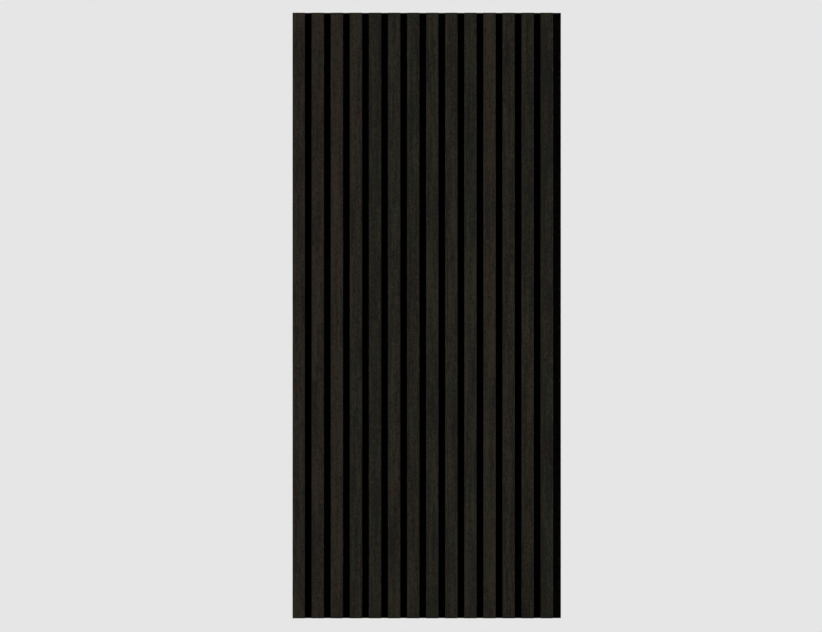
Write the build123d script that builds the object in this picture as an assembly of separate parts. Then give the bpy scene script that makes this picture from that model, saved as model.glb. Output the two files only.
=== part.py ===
from build123d import *
import os

# A slatted acoustic wall panel, upright as it hangs on its wall, in millimetres.
# Slats of dense fibreboard, each wrapped in wood veneer on its face and both flanks, stand
# side by side on a board of pressed felt. They are glued to the felt, and staples driven
# through the felt from behind bite into each slat. The first slat is flush with the left
# edge, and a bare strip of felt past the last one makes the groove to the next panel.
# The origin is the centre of the felt's back face, which lies on the wall. X runs to the
# right as seen from the room, Y into the wall and Z up, so the slats' faces look along -Y.

# The whole panel
panel_height = 1200.0

# Slats, outside the veneer
slat_count = 14
slat_width = 24.6
slat_thickness = 12.0
groove_width = 13.2
closing_strip = 16.0

# Veneer, folded round the two front arrises of the slat's core, which are planed off a little
veneer_thickness = 0.6
core_arris_chamfer = 0.4

# Felt board
felt_thickness = 9.0

# Staples: flat wire, with the crown lying across the slat
staple_rows = 4
staple_end_margin = 75.0
crown_length = 12.8
wire_width = 0.95
wire_thickness = 0.65
crown_sink = 0.5
leg_bite = 5.5
bend_chamfer = 0.4
tip_bevel = 1.2

# Clearances round a staple
crown_clearance = 0.25
leg_clearance = 0.05
tip_clearance = 0.2

# Sizes that follow from those above
slat_pitch = slat_width + groove_width
panel_width = slat_count * slat_width + (slat_count - 1) * groove_width + closing_strip
left_edge = -panel_width / 2
felt_front = -felt_thickness
core_width = slat_width - 2 * veneer_thickness
core_thickness = slat_thickness - veneer_thickness
veneer_arris_radius = core_arris_chamfer + veneer_thickness
crown_back = -crown_sink
crown_seat = crown_back - wire_thickness
leg_tip = felt_front - leg_bite
staple_row_pitch = (panel_height - 2 * staple_end_margin) / (staple_rows - 1)


def slat_centre(index):
    """X of the centre line of a slat, counted from 0 at the left."""
    return left_edge + slat_width / 2 + index * slat_pitch


def staple_heights():
    """Z of each row of staples, spread evenly between the two end rows."""
    lowest = -panel_height / 2 + staple_end_margin
    return [lowest + row * staple_row_pitch for row in range(staple_rows)]


def bar_section(centre, width, thickness):
    """Square-cornered cross-section of a bar seated on the felt."""
    return Pos(centre, felt_front) * Rectangle(width, thickness, align=(Align.CENTER, Align.MAX))


def front_corners(section):
    """The two corners of a bar's section that face the room."""
    return section.vertices().sort_by(Axis.Y)[:2]


def core_section(centre):
    """Cross-section of a slat's fibreboard core."""
    bar = bar_section(centre, core_width, core_thickness)
    return chamfer(front_corners(bar), core_arris_chamfer)


def full_height(section):
    """A cross-section carried over the panel's whole height."""
    return extrude(section, amount=panel_height / 2, both=True)


def leg_slots(centre):
    """Slots for both legs of every staple in one slat, from the crown's seat to past the tips."""
    slot_depth = crown_seat - leg_tip + tip_clearance
    slot = Box(
        wire_thickness + 2 * leg_clearance,
        slot_depth,
        wire_width + 2 * leg_clearance,
        align=(Align.CENTER, Align.MAX, Align.CENTER),
    )
    leg_offset = (crown_length - wire_thickness) / 2
    return [
        Pos(centre + side * leg_offset, crown_seat, height) * slot
        for height in staple_heights()
        for side in (-1, 1)
    ]


def crown_pockets(centre):
    """The dents that the staples' crowns press into the back of the felt behind one slat."""
    pocket = Box(
        crown_length + 2 * crown_clearance,
        -crown_seat,
        wire_width + 2 * crown_clearance,
        align=(Align.CENTER, Align.MAX, Align.CENTER),
    )
    return [Pos(centre, 0, height) * pocket for height in staple_heights()]


def felt_board():
    """The felt board, with a pocket and two slots for each staple."""
    board = Box(panel_width, felt_thickness, panel_height, align=(Align.CENTER, Align.MAX, Align.CENTER))
    cuts = []
    for index in range(slat_count):
        cuts += crown_pockets(slat_centre(index)) + leg_slots(slat_centre(index))
    return board - cuts


def slat_core(centre):
    """One fibreboard core, with the blind slots that the staples' legs make in its back."""
    return full_height(core_section(centre)) - leg_slots(centre)


def slat_veneer(centre):
    """One veneer wrap: a thin channel folded round the core's face and flanks."""
    bar = bar_section(centre, slat_width, slat_thickness)
    outside = fillet(front_corners(bar), veneer_arris_radius)
    return full_height(outside - core_section(centre))


def staple_outline():
    """A staple seen along the slat: the crown at the back and two legs with chisel points."""
    half_crown = crown_length / 2
    half_inside = half_crown - wire_thickness
    right_side = [
        (half_inside, crown_seat),
        (half_inside, leg_tip + tip_bevel),
        (half_crown, leg_tip),
        (half_crown, crown_back - bend_chamfer),
        (half_crown - bend_chamfer, crown_back),
    ]
    left_side = [(-x, y) for x, y in reversed(right_side)]
    return make_face(Polyline(*right_side, *left_side, close=True))


def staples():
    """Every staple in the panel, one behind each slat in each row."""
    staple = extrude(staple_outline(), amount=wire_width / 2, both=True)
    places = [Pos(slat_centre(i), 0, z) for i in range(slat_count) for z in staple_heights()]
    return Compound(children=[place * staple for place in places])


def save(shape, node):
    """Writes one node's STEP file."""
    shape.label = node
    export_step(shape, f"parts/{node}.step")


os.makedirs("parts", exist_ok=True)
save(felt_board(), "felt_backing")
save(staples(), "staples")
for number in range(1, slat_count + 1):
    save(slat_core(slat_centre(number - 1)), f"slat_core_{number:02d}")
    save(slat_veneer(slat_centre(number - 1)), f"slat_veneer_{number:02d}")
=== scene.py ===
"""A slatted acoustic wall panel, dressed for a studio picture.

Fourteen veneered fibreboard slats stand on a board of black felt, held from behind by rows of
staples. Lengths are in metres where nothing else is said. X runs to the right as seen from the
room, Y into the wall and Z up, and the origin is the centre of the felt's back face.
"""

import logging
import math
from dataclasses import dataclass, field
from enum import Enum
from functools import partial, reduce

import bpy
import numpy as np
from bpy.types import Material, NodeSocket as Socket, Object, World
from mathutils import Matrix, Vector


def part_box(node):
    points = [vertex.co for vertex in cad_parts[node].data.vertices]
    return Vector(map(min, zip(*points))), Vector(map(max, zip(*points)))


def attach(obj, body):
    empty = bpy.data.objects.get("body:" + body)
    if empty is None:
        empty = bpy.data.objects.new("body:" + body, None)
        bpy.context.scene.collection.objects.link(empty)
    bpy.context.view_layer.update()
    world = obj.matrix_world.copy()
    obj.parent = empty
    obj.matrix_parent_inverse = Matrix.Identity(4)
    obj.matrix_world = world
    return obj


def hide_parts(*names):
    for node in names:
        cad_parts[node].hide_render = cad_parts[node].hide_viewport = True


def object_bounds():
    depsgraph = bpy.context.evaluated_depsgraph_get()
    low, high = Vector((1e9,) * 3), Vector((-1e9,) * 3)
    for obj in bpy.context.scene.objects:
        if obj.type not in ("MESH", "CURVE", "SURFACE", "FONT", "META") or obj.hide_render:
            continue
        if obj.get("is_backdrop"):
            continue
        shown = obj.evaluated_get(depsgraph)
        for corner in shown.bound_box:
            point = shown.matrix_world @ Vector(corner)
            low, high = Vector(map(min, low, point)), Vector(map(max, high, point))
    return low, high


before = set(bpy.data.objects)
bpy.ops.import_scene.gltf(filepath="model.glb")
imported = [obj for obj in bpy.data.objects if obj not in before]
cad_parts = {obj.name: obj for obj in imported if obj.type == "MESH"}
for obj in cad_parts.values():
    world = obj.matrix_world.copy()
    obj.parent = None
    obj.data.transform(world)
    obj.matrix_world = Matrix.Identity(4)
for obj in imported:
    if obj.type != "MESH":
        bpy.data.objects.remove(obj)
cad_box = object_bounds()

LOG = logging.getLogger("acoustic_panel")
BODY = "root"
MM = 0.001
MICROMETRE_DECIMALS = 6
NOISE_MIDDLE = 0.5
WHITE = (1.0, 1.0, 1.0)

Array = np.ndarray
Pair = tuple[float, float]
Triple = tuple[float, float, float]
Colour = Triple
Value = float | Socket


class Slot(Enum):
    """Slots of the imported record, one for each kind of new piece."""

    VENEER = "dark_veneer"
    FELT = "black_felt"


class Corner(Enum):
    """Corners of the studio in which a tall lamp stands, as signs of X and Y."""

    FRONT_LEFT = (-1, -1)
    FRONT_RIGHT = (1, -1)
    BACK_LEFT = (-1, 1)
    BACK_RIGHT = (1, 1)


def smooth_step(t: Array) -> Array:
    """Eases t from 0 to 1 as 3t^2 - 2t^3."""
    return t * t * (3.0 - 2.0 * t)


@dataclass(frozen=True)
class Relief:
    """Smooth random relief that lowers a surface, described by its cells.

    Attributes:
        width: Width of a cell.
        height: Height of a cell.
        depth: Most that it lowers the surface.
        level: Noise, from -1 to 1, up to which the surface keeps its height.
    """

    width: float
    height: float
    depth: float
    level: float = -1.0

    def over(self, u: Array, v: Array, rng: np.random.Generator) -> Array:
        """Depths over a grid of columns and rows.

        The corners of the cells hold random numbers from -1 to 1, which ease into each other
        across a cell. What rises above the level is stretched to the full depth.

        Args:
            u: Positions of the columns.
            v: Positions of the rows.
            rng: Source of the random numbers.

        Returns:
            One depth for each row and column.
        """
        across = (u - u.min()) / self.width
        along = (v - v.min()) / self.height
        column = across.astype(int)
        row = along.astype(int)
        corners = rng.uniform(-1.0, 1.0, (row.max() + 2, column.max() + 2))
        weight_u = smooth_step(across - column)
        weight_v = smooth_step(along - row)[:, None]
        blended = corners[:, column] * (1.0 - weight_u) + corners[:, column + 1] * weight_u
        noise = blended[row] * (1.0 - weight_v) + blended[row + 1] * weight_v
        return self.depth * np.clip((noise - self.level) / (1.0 - self.level), 0.0, None)


def grid_quads(index: Array) -> Array:
    """Quads between neighbouring nodes of a grid.

    Args:
        index: Vertex numbers, one row of the grid in each row.

    Returns:
        Nodes (r, c), (r, c + 1), (r + 1, c + 1) and (r + 1, c) for each quad.
    """
    corners = (index[:-1, :-1], index[:-1, 1:], index[1:, 1:], index[1:, :-1])
    return np.stack([corner.ravel() for corner in corners], axis=1)


def block_lattice(counts: tuple[int, int, int]) -> tuple[Array, Array]:
    """Surface of a block as a lattice, whose faces share the nodes of their common edges.

    The nodes (i, j, k) of the whole block are numbered along Z, then Y, then X. Each face is
    the grid of nodes in which one index stays at its first or last value.

    Args:
        counts: Nodes along X, Y and Z.

    Returns:
        The nodes (i, j, k) on the surface, and quads of them that face outwards.
    """
    block = np.arange(math.prod(counts)).reshape(counts)
    faces = []
    for axis in range(3):
        layers = block.transpose(axis, (axis + 2) % 3, (axis + 1) % 3)
        faces += [grid_quads(layers[0])[:, ::-1], grid_quads(layers[-1])]
    numbers, quads = np.unique(np.concatenate(faces), return_inverse=True)
    return np.stack(np.unravel_index(numbers, counts), axis=1), quads.reshape(-1, 4)


def make_piece(name: str, points: Array, faces: list[Array], sharp_angle: float) -> Object:
    """Makes a smooth-shaded mesh object from arrays, with its place in its mesh.

    Args:
        name: Name of the object.
        points: One row (x, y, z) for each vertex.
        faces: Arrays of vertex numbers, one row for each face.
        sharp_angle: Edges that turn by more than this, in radians, stay sharp.

    Returns:
        The new object, linked to the scene.
    """
    mesh = bpy.data.meshes.new(name)
    corners = np.concatenate([group.ravel() for group in faces])
    sizes = np.concatenate([np.full(len(group), group.shape[1]) for group in faces])
    mesh.vertices.add(len(points))
    mesh.vertices.foreach_set("co", points.astype(np.float32).ravel())
    mesh.loops.add(len(corners))
    mesh.loops.foreach_set("vertex_index", corners.astype(np.int32))
    mesh.polygons.add(len(sizes))
    mesh.polygons.foreach_set("loop_start", (np.cumsum(sizes) - sizes).astype(np.int32))
    mesh.update(calc_edges=True)
    mesh.validate()
    mesh.shade_smooth()
    mesh.set_sharp_from_angle(angle=sharp_angle)
    piece = bpy.data.objects.new(name, mesh)
    bpy.context.collection.objects.link(piece)
    return piece


def set_attributes(piece: Object, **attributes: Array | float) -> None:
    """Stores numbers for the vertices under names that a material can read.

    Args:
        piece: Object whose mesh takes the numbers.
        attributes: For each name a number for each vertex, or one for all.
    """
    for name, values in attributes.items():
        numbers = np.full(len(piece.data.vertices), np.ravel(values), dtype=np.float32)
        piece.data.attributes.new(name, "FLOAT", "POINT").data.foreach_set("value", numbers)


def claim(piece: Object, slot: Slot, node: str, material: Material) -> None:
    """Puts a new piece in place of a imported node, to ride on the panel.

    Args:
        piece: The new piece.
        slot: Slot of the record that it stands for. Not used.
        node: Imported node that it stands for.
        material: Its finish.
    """
    piece.data.materials.append(material)
    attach(piece, BODY)
    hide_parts(node)
    LOG.info("%s: %d faces, in place of %s", piece.name, len(piece.data.polygons), node)


def paint_node(node: str, material: Material) -> None:
    """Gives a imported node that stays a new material.

    Args:
        node: Name of the node.
        material: Its finish.
    """
    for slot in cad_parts[node].material_slots:
        slot.material = material
    LOG.info("%s: keeps its packed shape", node)


@dataclass(frozen=True)
class Cells:
    """A Perlin noise in a material, described by its cells.

    Attributes:
        size: Length of a cell along X, Y and Z, in millimetres.
        detail: Octaves above the first.
        rough: Share of each octave in the next.
        bend: Distortion of the cells.
        turn: Turn of the cells about Y, in degrees.
        share: Weight of the noise in a sum that picks a colour.
        rise: Weight of the noise in the height that the bump shows.
        matt: Weight of the noise, or of its patches, in the roughness.
        levels: Noise at which a patch begins and is full.
    """

    size: Triple
    detail: float = 2.0
    rough: float = 0.5
    bend: float = 0.0
    turn: float = 0.0
    share: float = 1.0
    rise: float = 1.0
    matt: float = 0.0
    levels: Pair = (0.0, 1.0)


class NodeGraph:
    """The node tree of a material or of the world, with a method for each kind of node."""

    def __init__(self, owner: Material | World) -> None:
        """Empties the owner's tree, down to a new output.

        Args:
            owner: The material or world.
        """
        owner.use_nodes = True
        self.owner = owner
        self.tree = owner.node_tree
        self.tree.nodes.clear()
        self.output = self.tree.nodes.new(f"ShaderNodeOutput{type(owner).__name__}")
        self.noises: dict[Cells, Socket] = {}

    def put(self, socket: Socket, value: Value | Triple) -> None:
        """Links a socket to another node's output, or sets its constant.

        Args:
            socket: Input socket.
            value: An output socket, a number, a vector or a colour.
        """
        if isinstance(value, Socket):
            self.tree.links.new(value, socket)
        elif isinstance(value, tuple) and len(socket.default_value) > len(value):
            socket.default_value = (*value, 1.0)
        else:
            socket.default_value = value

    def node(
        self, kind: str, out: str, inputs: dict[str, Value | Triple] | None = None, **settings: str
    ) -> Socket:
        """Adds a node.

        Args:
            kind: Its type, less the ShaderNode at its start.
            out: Identifier of the output that is wanted.
            inputs: Values of its inputs, by their identifiers.
            settings: Values of its own properties.

        Returns:
            The output.
        """
        node = self.tree.nodes.new(f"ShaderNode{kind}")
        for name, value in settings.items():
            setattr(node, name, value)
        sockets = {socket.identifier: socket for socket in node.inputs}
        for name, value in (inputs or {}).items():
            self.put(sockets[name], value)
        return next(socket for socket in node.outputs if socket.identifier == out)

    def end(self, shader: Socket) -> Material | World:
        """Links a shader to the output, and returns the finished material or world."""
        self.put(self.output.inputs["Surface"], shader)
        return self.owner

    def counted(self, size: Triple, turn: float = 0.0, middle: Triple = (0.0, 0.0, 0.0)) -> Socket:
        """Object coordinates counted in cells.

        Args:
            size: Length of a cell along X, Y and Z. Where it is 0, the count stays 0.
            turn: Turn of the cells about Y, in degrees.
            middle: Point from which they are counted.

        Returns:
            Vector output.
        """
        mapping = {
            "Vector": self.node("TexCoord", "Object"),
            "Location": middle,
            "Rotation": (0.0, -math.radians(turn), 0.0),
            "Scale": size,
        }
        return self.node("Mapping", "Vector", mapping, vector_type="TEXTURE")

    def noise(self, cells: Cells) -> Socket:
        """Perlin noise from 0 to 1, about 0.5 on average. The same cells share one node.

        Args:
            cells: The noise's cells.

        Returns:
            Factor output.
        """
        if cells not in self.noises:
            inputs = {
                "Vector": self.counted(tuple(length * MM for length in cells.size), cells.turn),
                "Scale": 1.0,
                "Detail": cells.detail,
                "Roughness": cells.rough,
                "Distortion": cells.bend,
            }
            self.noises[cells] = self.node("TexNoise", "Fac", inputs)
        return self.noises[cells]

    def patches(self, cells: Cells) -> Socket:
        """Noise eased from 0 at the lower of its levels to 1 at the higher."""
        return self.eased(self.noise(cells), *cells.levels)

    def thread(self, cells: Cells, half_width: float) -> Socket:
        """Thin winding lines: 1 where a noise crosses its middle, 0 from half_width off it."""
        off_middle = self.calculate("SUBTRACT", self.noise(cells), NOISE_MIDDLE)
        return self.eased(self.calculate("ABSOLUTE", off_middle), half_width, 0.0)

    def attribute(self, name: str) -> Socket:
        """Number stored for each vertex under a name."""
        return self.node("Attribute", "Fac", attribute_name=name)

    def calculate(self, operation: str, first: Value, second: Value = 0.0) -> Socket:
        """Result of a Math node on two values."""
        inputs = {"Value": first, "Value_001": second}
        return self.node("Math", "Value", inputs, operation=operation)

    def highest(self, *values: Socket) -> Socket:
        """The highest of several values."""
        return reduce(partial(self.calculate, "MAXIMUM"), values)

    def total(self, *terms: tuple[float, Socket]) -> Socket:
        """Sum of values, each times the weight before it."""
        weighted = (self.calculate("MULTIPLY", value, weight) for weight, value in terms)
        return reduce(partial(self.calculate, "ADD"), weighted)

    def raised(self, *layers: Cells) -> Socket:
        """Sum of noises, each times its rise."""
        return self.total(*((cells.rise, self.noise(cells)) for cells in layers))

    def uneven(self, *layers: Cells) -> Socket:
        """Sum of noises, each times its share, moved so that it is 0 on average."""
        noises = self.total(*((cells.share, self.noise(cells)) for cells in layers))
        return self.calculate("SUBTRACT", noises, NOISE_MIDDLE * sum(c.share for c in layers))

    def eased(self, value: Value, low: float, high: float) -> Socket:
        """Eases a value from 0 at low to 1 at high, and holds it outside."""
        inputs = {"Value": value, "From Min": low, "From Max": high}
        return self.node("MapRange", "Result", inputs, interpolation_type="SMOOTHSTEP")

    def centred(self, value: Value, spread: float) -> Socket:
        """Eases a value from 0 to 1 over a spread that has 0 at its middle."""
        return self.eased(value, -spread / 2, spread / 2)

    def mixed(
        self, share: Value, first: Socket | Colour, second: Socket | Colour, blend: str = "MIX"
    ) -> Socket:
        """Mixes two colours: the first at share 0, the second, or their product, at share 1."""
        inputs = {"Factor_Float": share, "A_Color": first, "B_Color": second}
        return self.node("Mix", "Result_Color", inputs, data_type="RGBA", blend_type=blend)

    def coated(self, colour: Socket, coat: Colour, mask: Socket, most: float) -> Socket:
        """Lays a coat over a colour by a mask, with the given share where the mask is 1."""
        return self.mixed(self.calculate("MULTIPLY", mask, most), colour, coat)

    def tinted(self, colour: Socket, tint: Socket | Colour, share: Value = 1.0) -> Socket:
        """Multiplies a colour by a tint, fully at share 1 and not at all at share 0."""
        return self.mixed(share, colour, tint, "MULTIPLY")

    def seen_directly(self) -> Socket:
        """1 for camera, glossy and transmission rays, and 0 for the rest."""
        rays = ("Is Camera Ray", "Is Glossy Ray", "Is Transmission Ray")
        return self.highest(*(self.node("LightPath", ray) for ray in rays))


@dataclass(frozen=True)
class Finish:
    """What every finish has besides its colours and noises.

    Attributes:
        name: Name of the material.
        roughness: Roughness, less what the noises add.
        relief: Depth of the relief that the bump shows.
        relief_strength: Strength of the bump.
        sheen_level: Specular level.
        metallic: 1 for metal, 0 for the rest.
    """

    name: str
    roughness: float
    relief: float
    relief_strength: float
    sheen_level: float = 0.5
    metallic: float = 0.0

    def graph(self) -> NodeGraph:
        """Starts the finish's material."""
        return NodeGraph(bpy.data.materials.new(self.name))

    def end(
        self, graph: NodeGraph, colour: Socket, height: Socket, *uneven: tuple[float, Socket]
    ) -> Material:
        """Ends a graph in a Principled shader.

        Args:
            graph: The material's graph.
            colour: Colour of the surface.
            height: Height of its relief as a share of the depth.
            uneven: Values that add to the roughness, each after its weight.

        Returns:
            The finished material.
        """
        bump = {"Height": height, "Distance": self.relief, "Strength": self.relief_strength}
        roughness = self.roughness
        if uneven:
            roughness = graph.calculate("ADD", graph.total(*uneven), roughness)
        sockets = {
            "Base Color": colour,
            "Metallic": self.metallic,
            "Roughness": roughness,
            "Specular IOR Level": self.sheen_level,
            "Normal": graph.node("Bump", "Normal", bump),
        }
        return graph.end(graph.node("BsdfPrincipled", "BSDF", sockets))


@dataclass(frozen=True)
class VeneerFinish(Finish):
    """Open-grained veneer, stained charcoal brown and left matt. The grain runs along Z.

    Attributes:
        dark: Colour of the darkest grain.
        light: Colour of the lightest grain.
        contrast: Spread of the grain's sum from dark to light.
        warm_tint: Factor on the colour where the stain is brownest.
        cool_tint: Factor on the colour where it is greyest.
        hue_spread: Spread of the hue's sum from cool to warm.
        arris_tint: Factor on the colour at an arris, painted shade on the rounded edge.
        arris_power: How closely that painted shade keeps to the arris.
        pore: Colour inside an open pore.
        pore_share: Most of the pore's colour.
        worn: Colour of a spot of wear on an arris, also a painted highlight.
        worn_share: Most of that colour.
        worn_power: How closely the spots of wear and highlight keep to the arris.
        end_grain: Factor on the colour at a sawn end.
        figure: Broad uneven stain.
        streak: Growth rings cut lengthwise.
        cloud: Smaller uneven stain.
        dash: Short dashes along the grain.
        fibre: Fine fibres.
        fleck: Ray flecks, a little aslant across the grain.
        hue: Uneven hue.
        band: Bands of hue that run along the slat.
        nick: Spots of wear along the arrises, where a highlight is also painted.
        vessel: Open pores.
        ring_pores: How much more open the pores are in a dark growth ring.
    """

    name: str = "stained_veneer"
    roughness: float = 0.50
    relief: float = 0.16 * MM
    relief_strength: float = 0.7
    sheen_level: float = 0.10
    dark: Colour = (0.0021, 0.0015, 0.0001)
    light: Colour = (0.0217, 0.0183, 0.0115)
    contrast: float = 0.62
    warm_tint: Colour = (1.21, 0.96, 1.00)
    cool_tint: Colour = (0.84, 1.05, 0.97)
    hue_spread: float = 0.50
    arris_tint: Colour = (0.40, 0.43, 0.55)
    arris_power: float = 6.0
    pore: Colour = (0.0030, 0.0024, 0.0018)
    pore_share: float = 0.8
    worn: Colour = (0.0400, 0.0340, 0.0250)
    worn_share: float = 0.7
    worn_power: float = 9.0
    end_grain: Colour = (0.45, 0.42, 0.40)
    figure: Cells = Cells((32, 32, 170), share=0.60)
    streak: Cells = Cells((5.5, 5.5, 120), detail=3.0, rough=0.6, bend=0.3)
    cloud: Cells = Cells((4.5, 4.5, 10), detail=3.0, rough=0.6, share=0.45)
    dash: Cells = Cells((1.2, 1.2, 5), rough=0.6, share=1.30, rise=0.3)
    fibre: Cells = Cells((0.6, 0.6, 22), rough=0.6, share=0.85, rise=0.7, matt=0.16)
    fleck: Cells = Cells((9, 9, 1.5), rough=0.6, turn=14.0, share=0.70)
    hue: Cells = Cells((11, 11, 60), share=0.90)
    band: Cells = Cells((7, 7, 700), share=0.80)
    nick: Cells = Cells((9, 9, 16), detail=3.0, rough=0.6, levels=(0.60, 0.68))
    vessel: Cells = Cells((0.32, 0.32, 5), detail=1.0, matt=0.12, levels=(0.60, 0.66))
    ring_pores: float = 0.25

    def material(self) -> Material:
        """Builds the veneer's material.

        Returns:
            A material that reads the attributes tone, warmth, arris and sawn.
        """
        graph = self.graph()
        open_pore = self.open_pore(graph)
        height = graph.calculate("SUBTRACT", graph.raised(self.dash, self.fibre), open_pore)
        uneven = ((self.fibre.matt, graph.noise(self.fibre)), (self.vessel.matt, open_pore))
        return self.end(graph, self.colour(graph, open_pore), height, *uneven)

    def colour(self, graph: NodeGraph, open_pore: Socket) -> Socket:
        """Colour of the veneer: a shade of the grain, changed by the stain, pores and wear.

        The arrises get painted shade, and their spots of wear a painted highlight.

        Args:
            graph: The material's graph.
            open_pore: How open the pores are.

        Returns:
            Colour output.
        """
        layers = (self.figure, self.streak, self.cloud, self.dash, self.fibre, self.fleck)
        grain = graph.calculate("ADD", graph.uneven(*layers), graph.attribute("tone"))
        hue = graph.calculate("ADD", graph.uneven(self.hue, self.band), graph.attribute("warmth"))
        stain = graph.mixed(graph.centred(hue, self.hue_spread), self.cool_tint, self.warm_tint)
        arris = graph.attribute("arris")
        # Painted shade: the colour darkens towards the rounded arrises.
        arris_shade = graph.calculate("POWER", arris, self.arris_power)
        # Spots of wear at the arrises are lightened: real wear, and a painted highlight on the edge.
        rubbed_highlight = graph.calculate("POWER", arris, self.worn_power)
        spots = graph.calculate("MULTIPLY", rubbed_highlight, graph.patches(self.nick))
        colour = graph.mixed(graph.centred(grain, self.contrast), self.dark, self.light)
        colour = graph.tinted(colour, stain)
        colour = graph.tinted(colour, self.arris_tint, arris_shade)
        colour = graph.coated(colour, self.pore, open_pore, self.pore_share)
        colour = graph.coated(colour, self.worn, spots, self.worn_share)
        return graph.tinted(colour, self.end_grain, graph.attribute("sawn"))

    def open_pore(self, graph: NodeGraph) -> Socket:
        """How open the pores are, from 0 to 1, more so in the growth rings' dark streaks.

        Args:
            graph: The material's graph.

        Returns:
            Value output.
        """
        ring = graph.calculate("SUBTRACT", NOISE_MIDDLE, graph.noise(self.streak))
        vessel = graph.total((1.0, graph.noise(self.vessel)), (self.ring_pores, ring))
        return graph.eased(vessel, *self.vessel.levels)


@dataclass(frozen=True)
class FibreboardFinish(Finish):
    """Sawn dense fibreboard, dyed through, with pale specks of fibre and saw marks.

    Attributes:
        body: Colour of the board.
        dark: Colour of its denser patches.
        pale: Colour of a speck.
        pale_share: Most of the speck's colour.
        cloud: Denser patches.
        speck: Specks of fibre.
        score: Marks of the saw.
    """

    name: str = "dyed_fibreboard"
    roughness: float = 0.82
    relief: float = 0.2 * MM
    relief_strength: float = 0.6
    sheen_level: float = 0.15
    body: Colour = (0.034, 0.029, 0.023)
    dark: Colour = (0.016, 0.013, 0.010)
    pale: Colour = (0.120, 0.100, 0.072)
    pale_share: float = 0.6
    cloud: Cells = Cells((2.2, 2.2, 2.2), detail=3.0, rough=0.6, levels=(0.35, 0.65))
    speck: Cells = Cells((0.42, 0.42, 0.42), detail=1.0, rough=0.6, rise=0.6, levels=(0.58, 0.66))
    score: Cells = Cells((0.9, 16, 30), detail=1.0, rise=0.5)

    def material(self) -> Material:
        """Builds the fibreboard's material.

        Returns:
            A material that reads no attribute.
        """
        graph = self.graph()
        colour = graph.mixed(graph.patches(self.cloud), self.dark, self.body)
        colour = graph.coated(colour, self.pale, graph.patches(self.speck), self.pale_share)
        return self.end(graph, colour, graph.raised(self.speck, self.score))


@dataclass(frozen=True)
class FeltFinish(Finish):
    """Needled felt of black fibres, with a tangle of paler ones on its surface.

    Attributes:
        deep: Colour between the fibres.
        body: Colour of the matted fibres.
        matting_spread: Spread of the matting's sum from the first to the second of these.
        fibre: Colour of the loose fibres on the surface.
        fibre_share: Most of the loose fibres' colour.
        loose_spread: Spread of the matting's sum from no loose fibre to all of them.
        ironed: Factor on the front's colour, painted shade for the felt in the grooves.
        mottle: Thin and thick patches.
        tuft: Small tufts.
        layer: Plies, which show at the cut edges.
        tangle: Loose fibres, one noise for each lie.
        thread_width: Half the width of a loose fibre, as a difference of its noise.
        thread_rise: Weight of the loose fibres in the height that the bump shows.
    """

    name: str = "needled_felt"
    roughness: float = 0.95
    relief: float = 0.5 * MM
    relief_strength: float = 0.8
    sheen_level: float = 0.0
    deep: Colour = (0.0039, 0.0038, 0.0039)
    body: Colour = (0.0144, 0.0139, 0.0144)
    matting_spread: float = 0.60
    fibre: Colour = (0.0850, 0.0830, 0.0850)
    fibre_share: float = 0.55
    loose_spread: float = 0.50
    ironed: Colour = (0.18, 0.18, 0.18)
    mottle: Cells = Cells((14, 14, 14), detail=4.0, rough=0.65, share=0.5)
    tuft: Cells = Cells((2.6, 1.2, 2.6), detail=3.0, rough=0.65, bend=1.2, share=0.9, rise=0.5)
    layer: Cells = Cells((14, 0.45, 14), share=0.35, rise=0.35)
    tangle: tuple[Cells, ...] = (
        Cells((6.0, 3.0, 3.4), detail=1.0, bend=0.6, turn=15.0),
        Cells((6.5, 3.0, 3.0), detail=1.0, bend=0.6, turn=75.0),
        Cells((5.0, 3.0, 3.6), detail=1.0, bend=0.6, turn=130.0),
    )
    thread_width: float = 0.020
    thread_rise: float = 0.3

    def material(self) -> Material:
        """Builds the felt's material.

        Returns:
            A material that reads the attribute front.
        """
        graph = self.graph()
        web = graph.highest(*(graph.thread(cells, self.thread_width) for cells in self.tangle))
        matting = graph.uneven(self.mottle, self.tuft, self.layer)
        loose = graph.calculate("MULTIPLY", web, graph.centred(matting, self.loose_spread))
        height = graph.total((1.0, graph.raised(self.tuft, self.layer)), (self.thread_rise, web))
        colour = graph.mixed(graph.centred(matting, self.matting_spread), self.deep, self.body)
        colour = graph.coated(colour, self.fibre, loose, self.fibre_share)
        # Painted shade: the front, which shows only down the grooves, is darkened to near black.
        colour = graph.tinted(colour, self.ironed, graph.attribute("front"))
        return self.end(graph, colour, height)


@dataclass(frozen=True)
class WireFinish(Finish):
    """Galvanised staple wire, drawn along its length and dulled in spots.

    Attributes:
        zinc: Colour of the clean zinc.
        dull: Colour of the dulled zinc.
        drawn: Lines that the drawing left.
        spot: Dulled spots.
    """

    name: str = "galvanised_wire"
    roughness: float = 0.22
    relief: float = 0.03 * MM
    relief_strength: float = 0.4
    metallic: float = 1.0
    zinc: Colour = (0.34, 0.34, 0.33)
    dull: Colour = (0.11, 0.11, 0.11)
    drawn: Cells = Cells((5, 0.12, 0.12), matt=0.15)
    spot: Cells = Cells((1.4, 0.6, 0.6), detail=3.0, rough=0.6, matt=0.35, levels=(0.38, 0.66))

    def material(self) -> Material:
        """Builds the wire's material.

        Returns:
            A material that reads no attribute.
        """
        graph = self.graph()
        colour = graph.mixed(graph.patches(self.spot), self.zinc, self.dull)
        uneven = ((cells.matt, graph.noise(cells)) for cells in (self.spot, self.drawn))
        return self.end(graph, colour, graph.noise(self.drawn), *uneven)


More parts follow.
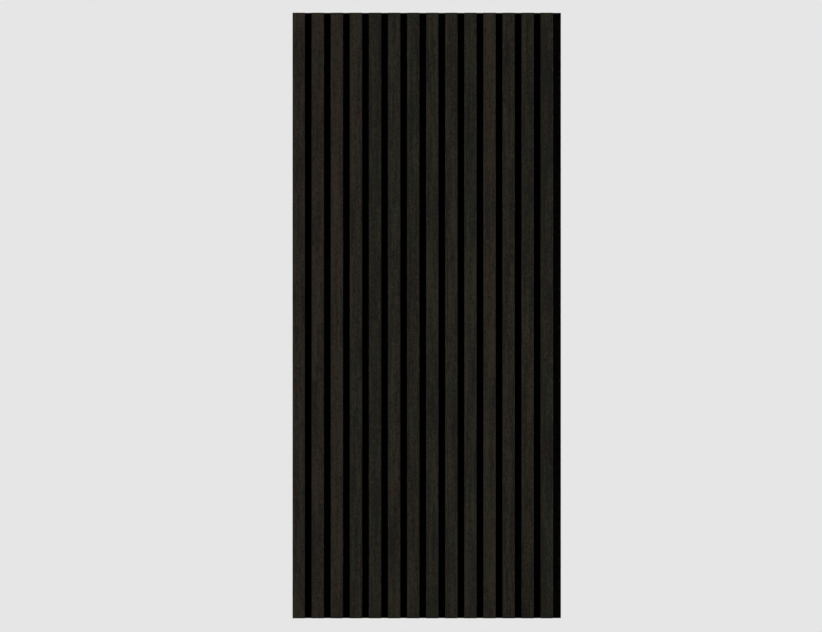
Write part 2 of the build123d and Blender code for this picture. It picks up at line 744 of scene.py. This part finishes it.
@dataclass(frozen=True)
class Slat:
    """One slat: a fibreboard core, and veneer folded round its face and both flanks.

    The veneer's relief only lowers its surface, so that the slat stays inside its packed size.

    Attributes:
        number: Place in the row, counted from 1 at the left.
        tone: How much lighter or darker it is than the rest.
        warmth: How much browner or greyer it is than the rest.
        arris_radius: Radius of the two front corners.
        veneer: Thickness of the veneer.
        face_step: Distance of the mesh's columns across the face.
        flank_step: Distance of the columns down a flank.
        arc_steps: Quads round a corner.
        row_step: Distance of the mesh's rows.
        end_bevel: Height of the broken edge at a sawn end.
        end_depth: Depth of that edge.
        grain: Narrow and broad waves of the grain, and its open pores.
        chips: Small chips at a sawn end.
        seat: Distance from a back edge over which the grain fades out.
        rub_reach: Width of the bell curve that says how near a point is to an arris.
        sharp_angle: Edges that turn by more than this stay sharp.
        seed: Start of the random relief, to which the slat's number is added.
    """

    number: int
    tone: float
    warmth: float
    arris_radius: float = 1.0 * MM
    veneer: float = 0.6 * MM
    face_step: float = 0.42 * MM
    flank_step: float = 0.9 * MM
    arc_steps: int = 6
    row_step: float = 6.0 * MM
    end_bevel: float = 0.15 * MM
    end_depth: float = 0.09 * MM
    grain: tuple[Relief, ...] = (
        Relief(1.1 * MM, 45 * MM, 0.020 * MM),
        Relief(2.8 * MM, 120 * MM, 0.030 * MM),
        Relief(0.9 * MM, 16 * MM, 0.0325 * MM, level=0.35),
    )
    chips: Relief = Relief(0.8 * MM, 3 * MM, 0.075 * MM, level=0.5)
    seat: float = 1.5 * MM
    rub_reach: float = 2.4 * MM
    sharp_angle: float = math.radians(35.0)
    seed: int = 4100

    @property
    def veneer_node(self) -> str:
        """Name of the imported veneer."""
        return f"slat_veneer_{self.number:02d}"

    def section(self) -> tuple[Array, Array, Array]:
        """Section of the veneer across the slat.

        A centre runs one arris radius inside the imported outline, along the left flank, the face
        and the right flank, and waits at both corners while the normal turns. The outer line
        lies one radius from it. The inner line lies one veneer thickness nearer, with its
        corners cut off straight, as on the planed core.

        Returns:
            Outer points, inner points and outward normals, each as rows (x, y).
        """
        low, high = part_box(self.veneer_node)
        radius = self.arris_radius
        left = low.x + radius
        right = high.x - radius
        front = low.y + radius
        quarter = math.pi / 2
        flank = np.linspace(high.y, front, round((high.y - front) / self.flank_step) + 1)[:-1]
        face = np.linspace(left, right, round((right - left) / self.face_step) + 1)[1:-1]
        arc = np.linspace(0.0, quarter, self.arc_steps + 1)
        stretches = (
            (left, flank, 0.0),
            (left, front, arc),
            (face, front, quarter),
            (right, front, quarter + arc),
            (right, flank[::-1], 2 * quarter),
        )
        x, y, turn = np.hstack([np.broadcast_arrays(*stretch) for stretch in stretches])
        centre = np.stack([x, y], axis=1)
        normal = -np.stack([np.cos(turn), np.sin(turn)], axis=1)
        sides = (0.0, quarter, 2 * quarter)
        chord = [np.interp(turn, sides, (-1, 0, 1)), np.interp(turn, sides, (0, -1, 0))]
        inner = centre + np.stack(chord, axis=1) * (radius - self.veneer)
        return centre + normal * radius, inner, normal

    def rows(self) -> Array:
        """Heights of the mesh's rows: even steps, and one more at each bevelled end.

        Returns:
            Z of each row, from the bottom to the top.
        """
        low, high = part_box(self.veneer_node)
        count = round((high.z - low.z) / self.row_step)
        even = np.linspace(low.z + self.end_bevel, high.z - self.end_bevel, count + 1)
        return np.concatenate([[low.z], even, [high.z]])

    def relief(self, along: Array, heights: Array) -> Array:
        """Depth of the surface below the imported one.

        The grain fades out towards the flanks' back edges. The two sawn ends are deeper by the
        broken edge and its chips.

        Args:
            along: Distance of each column along the outer line.
            heights: Height of each row.

        Returns:
            Depth for each row and column.
        """
        rng = np.random.default_rng(self.seed + self.number)
        grain = sum(layer.over(along, heights, rng) for layer in self.grain)
        chips = self.chips.over(along, heights, rng)
        fade = np.clip(np.minimum(along, along[-1] - along) / self.seat, 0.0, 1.0)
        at_end = np.zeros((len(heights), 1))
        at_end[[0, -1]] = 1.0
        return grain * fade + at_end * (self.end_depth + chips)

    def build(self) -> Object:
        """Builds the veneer as one closed mesh.

        Its rows run up the outside, from the inner line at the bottom to the inner line at the
        top, and join there to the first one. Fans close the thin back edges.

        Returns:
            The veneer, with the attributes tone, warmth, arris and sawn.
        """
        outer, inner, normal = self.section()
        heights = self.rows()
        along = np.concatenate([[0.0], np.cumsum(np.hypot(*np.diff(outer, axis=0).T))])
        skin = outer - normal * self.relief(along, heights)[..., None]
        points = np.empty((len(heights) + 2, len(outer), 3))
        points[..., :2] = np.concatenate([[inner], skin, [inner]])
        points[..., 2] = np.pad(heights, 1, mode="edge")[:, None]
        index = np.arange(points.size // 3).reshape(-1, len(outer))
        faces = [
            grid_quads(np.concatenate([index, index[:1]])),
            self.back_edge(index[:, 0]),
            self.back_edge(index[:, -1])[:, ::-1],
        ]
        points = points.reshape(-1, 3)
        piece = make_piece(f"veneer_{self.number:02d}", points, faces, self.sharp_angle)
        self.mark(piece, along, len(index))
        return piece

    @staticmethod
    def back_edge(column: Array) -> Array:
        """Triangles that close a back edge.

        Each half of the outer line fans to the nearer end of the inner one, and one triangle
        joins both ends to its middle.

        Args:
            column: Vertex numbers: the lower end, the outer line upwards and the upper end.

        Returns:
            Three vertex numbers for each triangle.
        """
        outer = column[1:-1]
        middle = len(outer) // 2
        apex = np.where(np.arange(len(outer) - 1) < middle, column[0], column[-1])
        fan = np.stack([outer[:-1], outer[1:], apex], axis=1)
        return np.concatenate([fan, [[outer[middle], column[-1], column[0]]]])

    def mark(self, piece: Object, along: Array, row_count: int) -> None:
        """Stores the slat's tone and warmth, how near an arris is, and what is sawn.

        The sawn value is 1 at both ends of the outside and on the inside, and 0 elsewhere.

        Args:
            piece: The veneer.
            along: Distance of each column along the outer line.
            row_count: Rows of the mesh.
        """
        low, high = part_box(self.veneer_node)
        corner = (high.y - low.y) - self.arris_radius * (1 - math.pi / 4)
        off_arris = np.minimum(along, along[-1] - along) - corner
        arris = np.zeros((row_count, len(along)))
        arris[1:-1] = np.exp(-((off_arris / self.rub_reach) ** 2))
        sawn = np.ones_like(arris)
        sawn[2:-2] = 0.0
        set_attributes(piece, tone=self.tone, warmth=self.warmth, arris=arris, sawn=sawn)

    def dress(self, veneer: Material, board: Material) -> None:
        """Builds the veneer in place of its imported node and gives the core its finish."""
        claim(self.build(), Slot.VENEER, self.veneer_node, veneer)
        paint_node(f"slat_core_{self.number:02d}", board)


@dataclass(frozen=True)
class Staples:
    """The staples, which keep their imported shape.

    Attributes:
        node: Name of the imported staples.
        row_count: Rows of staples.
        wire_width: Width of the wire along Z.
        crown_half: Half the length of a crown.
    """

    node: str = "staples"
    row_count: int = 4
    wire_width: float = 0.95 * MM
    crown_half: float = 6.4 * MM

    def heights(self) -> Array:
        """Z of each row of staples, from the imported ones, upwards."""
        low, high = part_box(self.node)
        return np.linspace(low.z + self.wire_width / 2, high.z - self.wire_width / 2, self.row_count)

    def dress(self, wire: Material) -> None:
        """Gives the staples their finish."""
        paint_node(self.node, wire)


@dataclass(frozen=True)
class FeltBoard:
    """The board of pressed felt that carries the slats.

    Attributes:
        slats: The slats that stand on it.
        staples: The staples that hold them.
        node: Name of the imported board.
        slat_lines: X of the mesh's lines behind a slat, from its middle, in millimetres.
        groove_cells: Cells across a groove.
        row_step: Distance of the mesh's even rows.
        row_lines: Z of the close rows at a row of staples, from its middle, in millimetres.
        row_clearance: Distance from a row of staples within which there is no even row.
        edge_round: Distance of the first mesh line from an edge.
        edge_inset: Depth by which a rim is broken.
        edge_nap: Uneven cut of the edges.
        groove_swell: Rise of the felt between two slats.
        front_nap: Uneven nap of the front.
        back_nap: Uneven nap of the back.
        dent: Depth of the felt where a staple's crown pulls it in.
        dent_reach: Width of the bell curve by which a dent fades.
        sharp_angle: Edges that turn by more than this stay sharp.
        seed: Start of the random nap.
    """

    slats: list[Slat]
    staples: Staples
    node: str = "felt_backing"
    slat_lines: tuple[float, ...] = (-8.6, -6.7, -3.4, 0.0, 3.4, 6.7, 8.6)
    groove_cells: int = 5
    row_step: float = 6.2 * MM
    row_lines: tuple[float, ...] = (-5.5, -3.2, -1.6, -0.6, 0.0, 0.6, 1.6, 3.2, 5.5)
    row_clearance: float = 6.5 * MM
    edge_round: float = 0.5 * MM
    edge_inset: float = 0.12 * MM
    edge_nap: Relief = Relief(4 * MM, 1.0, 0.10 * MM)
    groove_swell: float = 0.35 * MM
    front_nap: Relief = Relief(5 * MM, 9 * MM, 0.22 * MM)
    back_nap: Relief = Relief(7 * MM, 12 * MM, 0.22 * MM)
    dent: float = 0.78 * MM
    dent_reach: float = 2.6 * MM
    sharp_angle: float = math.radians(60.0)
    seed: int = 5200

    def slat_edges(self) -> Array:
        """X of the left and right edge of each slat, one row for each slat."""
        return np.array([[corner.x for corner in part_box(slat.veneer_node)] for slat in self.slats])

    def grooves(self) -> tuple[Array, Array]:
        """X of the left and right edges of the grooves, the bare strip at the right included."""
        edges = self.slat_edges()
        return edges[:, 1], np.append(edges[1:, 0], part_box(self.node)[1].x)

    def columns(self) -> Array:
        """X of the mesh's lines: two at each rim, some behind each slat, even ones in a groove.

        Returns:
            X of each line, from left to right. Lines within a micrometre are one.
        """
        low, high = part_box(self.node)
        rims = [low.x, low.x + self.edge_round, high.x - self.edge_round, high.x]
        behind = self.slat_edges().mean(axis=1)[:, None] + np.array(self.slat_lines) * MM
        grooves = np.linspace(*self.grooves(), self.groove_cells + 1)
        lines = np.concatenate([rims, behind.ravel(), grooves.ravel()])
        return np.unique(np.round(lines, MICROMETRE_DECIMALS))

    def rows(self) -> Array:
        """Z of the mesh's lines: even ones, and close ones at each row of staples.

        Returns:
            Z of each line, from the bottom to the top.
        """
        low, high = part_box(self.node)
        even = np.linspace(low.z, high.z, round((high.z - low.z) / self.row_step) + 1)
        heights = self.staples.heights()
        clear = np.abs(even[:, None] - heights).min(axis=1) > self.row_clearance
        close = heights[:, None] + np.array(self.row_lines) * MM
        ends = [low.z + self.edge_round, high.z - self.edge_round]
        return np.unique(np.concatenate([even[clear], close.ravel(), ends]))

    def swell(self, x: Array) -> Array:
        """Rise of the front at x, from 0 to 1: half a sine across each groove, else none."""
        starts, ends = self.grooves()
        return np.sin(np.pi * np.clip((x[:, None] - starts) / (ends - starts), 0, 1)).sum(axis=1)

    def dents(self, x: Array, z: Array) -> Array:
        """Depth of the dents in the back.

        It falls from a crown, a level line behind each slat, as a bell curve of the distance.

        Args:
            x: X of each point.
            z: Z of each point.

        Returns:
            Depth at each point.
        """
        beside = np.abs(x[:, None] - self.slat_edges().mean(axis=1)).min(axis=1)
        above = np.abs(z[:, None] - self.staples.heights()).min(axis=1)
        off_crown = np.hypot(np.clip(beside - self.staples.crown_half, 0.0, None), above)
        return self.dent * np.exp(-((off_crown / self.dent_reach) ** 2))

    def build(self) -> Object:
        """Builds the felt as one closed mesh.

        A block's lattice is set to the columns, five layers and the rows. The front swells in
        the grooves, the back is dented at the staples, and a nap lowers all free faces. Nodes
        on an edge move inwards along both of its faces, which rounds it.

        Returns:
            The felt board, with the attribute front, which is 1 on its front face.
        """
        low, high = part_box(self.node)
        soft = self.edge_round
        xs = self.columns()
        ys = np.array([low.y, low.y + soft, (low.y + high.y) / 2, high.y - soft, high.y])
        zs = self.rows()
        nodes, quads = block_lattice((len(xs), len(ys), len(zs)))
        i, j, k = nodes.T
        points = np.stack([xs[i], ys[j], zs[k]], axis=1)
        front = j == 0
        back = j == len(ys) - 1
        rng = np.random.default_rng(self.seed)
        swell = self.groove_swell - self.front_nap.over(xs, zs, rng)[k, i]
        sunk = self.back_nap.over(xs, zs, rng)[k, i] + self.dents(points[:, 0], points[:, 2])
        points[:, 1] -= front * self.swell(points[:, 0]) * swell + back * sunk
        for axis, index, last in ((0, i, len(xs) - 1), (2, k, len(zs) - 1)):
            for end, inward in ((0, 1.0), (last, -1.0)):
                rim = index == end
                nap = self.edge_nap.over(points[rim, 2 - axis], np.zeros(1), rng)[0]
                points[rim, axis] += inward * nap
                points[rim & (front | back), axis] += inward * self.edge_inset
                points[rim & back, 1] -= self.edge_inset
        piece = make_piece("felt_board", points, [quads], self.sharp_angle)
        set_attributes(piece, front=front)
        return piece

    def dress(self, felt: Material) -> None:
        """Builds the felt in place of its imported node."""
        claim(self.build(), Slot.FELT, self.node, felt)


@dataclass(frozen=True)
class Studio:
    """The floor, the lamps, the background and the camera.

    Attributes:
        background: Pale grey that the camera sees behind the panel.
        ambient: Light from all sides.
        floor_gap: Height of the panel's lower edge above the floor.
        floor_size: Side of the square floor.
        floor_white: White of the patch that takes the panel's shadow.
        floor_bounce: Grey of the floor for the light that it throws back.
        patch_reach: Half axes of the patch along X and Y.
        patch_shift: Y of the patch's middle.
        patch_fade: Shares of the patch's reach between which it turns into the background.
        lamp_distance: Distance of the tall lamps from the panel.
        lamp_angle: Angle of the tall lamps away from the panel's normal.
        lamp_size: Width and height of a tall lamp.
        lamp_power: Power of a tall lamp in front, in watts.
        back_share: Power of a tall lamp behind as a share of that.
        top_height: Height of the overhead lamp above the panel's middle.
        top_size: Width and height of the overhead lamp.
        top_power: Power of the overhead lamp, in watts.
        lens: Focal length, in millimetres.
        sensor: Width of the camera's sensor, in millimetres.
        photo_width: Width of the picture, in pixels.
        photo_scale: Size of a pixel at the slats' faces.
        photo_offset: Pixels from the picture's middle to the panel's, rightwards and upwards.
    """

    background: float = 0.791
    ambient: float = 0.20
    floor_gap: float = 45 * MM
    floor_size: float = 30.0
    floor_white: float = 0.73
    floor_bounce: float = 0.08
    patch_reach: Pair = (0.62, 0.40)
    patch_shift: float = -0.17
    patch_fade: Pair = (0.25, 1.0)
    lamp_distance: float = 3.6
    lamp_angle: float = math.radians(61.0)
    lamp_size: Pair = (0.9, 2.6)
    lamp_power: float = 88.0
    back_share: float = 0.65
    top_height: float = 4.2
    top_size: Pair = (3.0, 3.0)
    top_power: float = 120.0
    lens: float = 400.0
    sensor: float = 36.0
    photo_width: float = 822.0
    photo_scale: float = 1.981 * MM
    photo_offset: Pair = (15.76, 0.5)

    def world(self) -> None:
        """Sets a dim surround for light, which camera and mirror rays see as the background."""
        graph = NodeGraph(bpy.data.worlds.new("studio_surround"))
        levels = {"Value": graph.seen_directly(), "To Min": self.ambient, "To Max": self.background}
        strength = graph.node("MapRange", "Result", levels)
        surround = {"Color": WHITE, "Strength": strength}
        bpy.context.scene.world = graph.end(graph.node("Background", "Background", surround))

    def floor(self) -> None:
        """Lays a flat floor that shows the panel's shadow and fades into the background."""
        half = self.floor_size / 2
        level = cad_box[0].z - self.floor_gap
        corners = [(x * half, y * half, level) for x, y in ((-1, -1), (1, -1), (1, 1), (-1, 1))]
        piece = make_piece("floor", np.array(corners), [np.array([[0, 1, 2, 3]])], math.pi)
        piece.data.materials.append(self.floor_material())
        piece.visible_shadow = False
        piece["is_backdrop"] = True

    def floor_material(self) -> Material:
        """Builds the floor's material.

        The patch that takes the shadow is an ellipse round the panel, a little towards the
        camera. Outside it the floor shows the background's colour.

        Returns:
            A white diffuse patch inside an even glow, and a dim grey for light that bounces.
        """
        graph = NodeGraph(bpy.data.materials.new("studio_floor"))
        place = graph.counted((*self.patch_reach, 0.0), middle=(0.0, self.patch_shift, 0.0))
        radius = graph.node("VectorMath", "Value", {"Vector": place}, operation="LENGTH")
        patch, bounce = (
            graph.node("BsdfDiffuse", "BSDF", {"Color": (grey, grey, grey)})
            for grey in (self.floor_white, self.floor_bounce)
        )
        seen = {
            "Fac": graph.eased(radius, *self.patch_fade),
            "Shader": patch,
            "Shader_001": graph.node("Emission", "Emission", {"Strength": self.background}),
        }
        either = {
            "Fac": graph.seen_directly(),
            "Shader": bounce,
            "Shader_001": graph.node("MixShader", "Shader", seen),
        }
        return graph.end(graph.node("MixShader", "Shader", either))

    def lamp(self, name: str, place: Vector, size: Pair, power: float) -> None:
        """Hangs a soft rectangular lamp that shines at the panel's middle.

        Args:
            name: Name of the lamp.
            place: Where it hangs.
            size: Its width and height.
            power: Its power in watts.
        """
        light = bpy.data.lights.new(name, "AREA")
        light.shape = "RECTANGLE"
        light.size, light.size_y = size
        light.energy = power
        lamp = bpy.data.objects.new(name, light)
        lamp.location = place
        lamp.rotation_euler = (-place).to_track_quat("-Z", "Y").to_euler()
        lamp.visible_camera = False
        bpy.context.collection.objects.link(lamp)

    def lamps(self) -> None:
        """Hangs a tall lamp in each corner, raking the panel, and one wide lamp overhead."""
        across = self.lamp_distance * math.sin(self.lamp_angle)
        off_wall = self.lamp_distance * math.cos(self.lamp_angle)
        for corner in Corner:
            side, depth = corner.value
            power = self.lamp_power * (self.back_share if depth > 0 else 1.0)
            place = Vector((side * across, depth * off_wall, 0.0))
            self.lamp(f"lamp_{corner.name.lower()}", place, self.lamp_size, power)
        above = Vector((0.0, 0.0, self.top_height))
        self.lamp("lamp_overhead", above, self.top_size, self.top_power)

    def camera(self) -> None:
        """Stands the camera straight in front, where the slats' faces get the picture's scale."""
        low, high = cad_box
        right, above = self.photo_offset
        distance = self.photo_width * self.photo_scale * self.lens / self.sensor
        data = bpy.data.cameras.new("camera")
        data.lens = self.lens
        data.sensor_width = self.sensor
        camera = bpy.data.objects.new("camera", data)
        camera.location = (
            (low.x + high.x) / 2 - right * self.photo_scale,
            low.y - distance,
            (low.z + high.z) / 2 - above * self.photo_scale,
        )
        camera.rotation_euler = (math.pi / 2, 0.0, 0.0)
        bpy.context.collection.objects.link(camera)
        bpy.context.scene.camera = camera

    def build(self) -> None:
        """Sets up the whole studio."""
        bpy.context.scene.view_settings.view_transform = "Standard"
        self.camera()
        self.world()
        self.floor()
        self.lamps()
        LOG.info("studio: %d lamps", len(Corner) + 1)


@dataclass
class AcousticPanel:
    """The whole panel: a row of slats, the felt behind them and its staples.

    Attributes:
        slat_count: Number of slats.
        tone_spread: Most that a slat's tone is off the middle.
        warmth_spread: Most that a slat's warmth is off the middle.
        tone_seed: Start of the draw of tones, found by trying many, so that the lighter slats
            fall about where the photograph has them.
        warmth_seed: Start of the draw of warmths, found likewise for the browner slats.
        slats: The slats, from left to right.
        staples: The staples.
    """

    slat_count: int = 14
    tone_spread: float = 0.09
    warmth_spread: float = 0.13
    tone_seed: int = 18589
    warmth_seed: int = 16743
    slats: list[Slat] = field(init=False)
    staples: Staples = Staples()

    def __post_init__(self) -> None:
        """Numbers the slats from the left and draws their tones and warmths."""
        tones = self.draw(self.tone_seed, self.tone_spread)
        warmths = self.draw(self.warmth_seed, self.warmth_spread)
        numbers = range(1, self.slat_count + 1)
        self.slats = [Slat(*values) for values in zip(numbers, tones, warmths)]

    def draw(self, seed: int, spread: float) -> Array:
        """Draws one number for each slat, evenly from minus spread to spread."""
        return np.random.default_rng(seed).uniform(-1.0, 1.0, self.slat_count) * spread

    def build(self) -> None:
        """Builds and dresses every piece."""
        veneer = VeneerFinish().material()
        board = FibreboardFinish().material()
        for slat in self.slats:
            slat.dress(veneer, board)
        FeltBoard(self.slats, self.staples).dress(FeltFinish().material())
        self.staples.dress(WireFinish().material())


def write_sizes() -> None:
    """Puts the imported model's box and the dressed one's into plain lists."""
    boxes = {"cad": cad_box, "visual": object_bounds()}
    sizes = {name: [list(corner) for corner in box] for name, box in boxes.items()}


def main() -> None:
    """Builds the studio and the panel, piece by piece."""
    logging.basicConfig(level=logging.INFO, format="%(name)s %(message)s")
    Studio().build()
    AcousticPanel().build()
    write_sizes()


if __name__ == "__main__":
    main()
